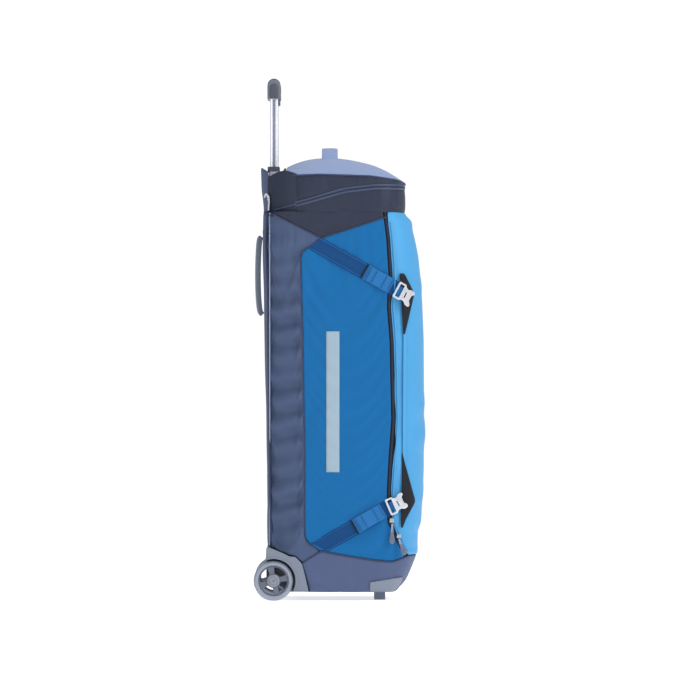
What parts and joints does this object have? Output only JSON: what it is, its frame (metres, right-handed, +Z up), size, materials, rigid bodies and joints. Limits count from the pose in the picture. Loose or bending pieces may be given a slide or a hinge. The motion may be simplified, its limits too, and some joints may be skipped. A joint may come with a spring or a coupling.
{
  "type": "rolling duffel bag",
  "caption": "Soft upright wheeled duffel with a telescoping trolley, a zipped front lid held by hooked straps and an end pocket.",
  "frame": {"origin": "on the floor under the middle of the outline, with the bag standing on its wheels and front feet", "axes": "+Z up along the trolley, +Y towards the trolley and the wheels, -Y towards the lid, X along the wheel axle"},
  "size_m": [0.3888, 0.3118, 0.9437],
  "materials": {
    "navy_ripstop": "woven recycled ripstop, matt, with a dirt-shedding coat",
    "blue_panel_cloth": "smooth coated tarpaulin cloth, slight sheen",
    "light_blue_cloth": "smooth coated tarpaulin cloth, slight sheen",
    "grey_moulding": "fine spark texture",
    "dark_moulding": "fine spark texture",
    "tyre_rubber": "satin polyurethane",
    "foot_rubber": "matt",
    "steel_parts": "plated",
    "anodised_tube": "silver anodised, drawn",
    "blue_webbing": "plain-woven webbing",
    "cast_hook": "cast and tumbled",
    "puller_moulding": "soft moulded"
  },
  "bodies": {
    "bag": {"base_tray": "navy_ripstop", "back_cover": "navy_ripstop", "side_panel_left": "blue_panel_cloth", "side_panel_right": "blue_panel_cloth", "wheel_housing_left": "grey_moulding", "wheel_housing_right": "grey_moulding", "front_bumper_left": "grey_moulding", "front_bumper_right": "grey_moulding", "front_foot_left": "foot_rubber", "front_foot_right": "foot_rubber", "back_board": "dark_moulding", "top_collar": "navy_ripstop", "pocket_floor": "navy_ripstop", "axle_left": "steel_parts", "axle_right": "steel_parts", "outer_tube_left": "anodised_tube", "outer_tube_right": "anodised_tube", "trolley_bezel": "dark_moulding", "trolley_foot": "dark_moulding", "compression_strap_upper_left": "blue_webbing", "compression_strap_upper_right": "blue_webbing", "compression_strap_lower_left": "blue_webbing", "compression_strap_lower_right": "blue_webbing", "back_handle": "grey_moulding", "shoulder_harness": "navy_ripstop", "harness_flap": "navy_ripstop", "harness_hook_left": "steel_parts", "harness_hook_right": "steel_parts", "lid_zip_slider_rear": "steel_parts", "lid_zip_slider_front": "steel_parts"},
    "trolley_handle": {"inner_tube_left": "anodised_tube", "inner_tube_right": "anodised_tube", "grip_shell": "grey_moulding", "grip_core": "dark_moulding"},
    "trigger": {"release_trigger": "grey_moulding"},
    "push_rods": {"push_rod_left": "steel_parts", "push_rod_right": "steel_parts"},
    "lid": {"lid": "light_blue_cloth", "hook_keeper_left": "blue_webbing", "hook_keeper_right": "blue_webbing"},
    "pocket_cap": {"pocket_cap": "navy_ripstop"},
    "top_handle": {"top_handle": "navy_ripstop"},
    "rear_puller": {"lid_zip_puller_rear": "puller_moulding"},
    "front_puller": {"lid_zip_puller_front": "puller_moulding"},
    "pocket_slider": {"pocket_zip_slider": "steel_parts"},
    "pocket_puller": {"pocket_zip_puller": "puller_moulding"},
    "wheel_left": {"tyre_left": "tyre_rubber", "wheel_rim_left": "dark_moulding", "wheel_bush_left": "steel_parts", "hub_cap_left": "grey_moulding"},
    "lock_pin_left": {"lock_pin_left": "steel_parts"},
    "hook_upper_left": {"hook_buckle_upper_left": "cast_hook"},
    "hook_lower_left": {"hook_buckle_lower_left": "cast_hook"},
    "wheel_right": {"tyre_right": "tyre_rubber", "wheel_rim_right": "dark_moulding", "wheel_bush_right": "steel_parts", "hub_cap_right": "grey_moulding"},
    "lock_pin_right": {"lock_pin_right": "steel_parts"},
    "hook_upper_right": {"hook_buckle_upper_right": "cast_hook"},
    "hook_lower_right": {"hook_buckle_lower_right": "cast_hook"}
  },
  "joints": [
    {"name": "trolley_slide", "type": "slide", "parent": "bag", "child": "trolley_handle", "axis": [0, 0, 1], "range_m": [-0.112, 0.15]},
    {"name": "trigger_squeeze", "type": "slide", "parent": "trolley_handle", "child": "trigger", "axis": [0, 0, 1], "range_m": [0, 0.005], "stiffness_N_per_m": 900, "springref_m": -0.001},
    {"name": "push_rod_travel", "type": "slide", "parent": "trolley_handle", "child": "push_rods", "axis": [0, 0, -1], "range_m": [0, 0.005]},
    {"name": "lid_swing", "type": "hinge", "parent": "bag", "child": "lid", "pos_m": [0, -0.12, 0.7], "axis": [-1, 0, 0], "range_deg": [0, 100]},
    {"name": "pocket_cap_swing", "type": "hinge", "parent": "bag", "child": "pocket_cap", "pos_m": [0, 0.0974, 0.782], "axis": [-1, 0, 0], "range_deg": [0, 60]},
    {"name": "top_handle_fold", "type": "hinge", "parent": "pocket_cap", "child": "top_handle", "pos_m": [0, 0.0185, 0.8], "axis": [1, 0, 0], "range_deg": [-40, 40], "stiffness_Nm_per_rad": 0.05},
    {"name": "rear_puller_swing", "type": "hinge", "parent": "bag", "child": "rear_puller", "pos_m": [-0.193, -0.094, 0.1394], "axis": [1, 0, 0], "range_deg": [-35, 35]},
    {"name": "front_puller_swing", "type": "hinge", "parent": "bag", "child": "front_puller", "pos_m": [-0.1896, -0.106, 0.1114], "axis": [1, 0, 0], "range_deg": [-10, 22]},
    {"name": "pocket_slider_run", "type": "slide", "parent": "bag", "child": "pocket_slider", "axis": [0, -0.9988, 0.0493], "range_m": [0, 0.07]},
    {"name": "pocket_puller_swing", "type": "hinge", "parent": "pocket_slider", "child": "pocket_puller", "pos_m": [0.19, -0.009, 0.7364], "axis": [1, 0, 0], "range_deg": [-40, 40]},
    {"name": "wheel_left_spin", "type": "hinge", "parent": "bag", "child": "wheel_left", "pos_m": [-0.177, 0.12, 0.036], "axis": [1, 0, 0], "continuous": true},
    {"name": "lock_pin_left_travel", "type": "slide", "parent": "trolley_handle", "child": "lock_pin_left", "axis": [1, 0, 0], "range_m": [0, 0.002]},
    {"name": "hook_upper_left_swing", "type": "hinge", "parent": "bag", "child": "hook_upper_left", "pos_m": [-0.1906, -0.10125, 0.5625], "axis": [0, 0.4731, -0.881], "range_deg": [0, 80]},
    {"name": "hook_lower_left_swing", "type": "hinge", "parent": "bag", "child": "hook_lower_left", "pos_m": [-0.1906, -0.08625, 0.16775], "axis": [0, -0.3939, -0.9191], "range_deg": [0, 80]},
    {"name": "wheel_right_spin", "type": "hinge", "parent": "bag", "child": "wheel_right", "pos_m": [0.177, 0.12, 0.036], "axis": [1, 0, 0], "continuous": true},
    {"name": "lock_pin_right_travel", "type": "slide", "parent": "trolley_handle", "child": "lock_pin_right", "axis": [-1, 0, 0], "range_m": [0, 0.002]},
    {"name": "hook_upper_right_swing", "type": "hinge", "parent": "bag", "child": "hook_upper_right", "pos_m": [0.1906, -0.10125, 0.5625], "axis": [0, -0.4731, 0.881], "range_deg": [0, 80]},
    {"name": "hook_lower_right_swing", "type": "hinge", "parent": "bag", "child": "hook_lower_right", "pos_m": [0.1906, -0.08625, 0.16775], "axis": [0, 0.3939, 0.9191], "range_deg": [0, 80]}
  ],
  "couplings": [
    {"joint": "push_rod_travel", "follows": "trigger_squeeze", "ratio": 1},
    {"joint": "lock_pin_left_travel", "follows": "trigger_squeeze", "ratio": 0.4},
    {"joint": "lock_pin_right_travel", "follows": "trigger_squeeze", "ratio": 0.4}
  ]
}
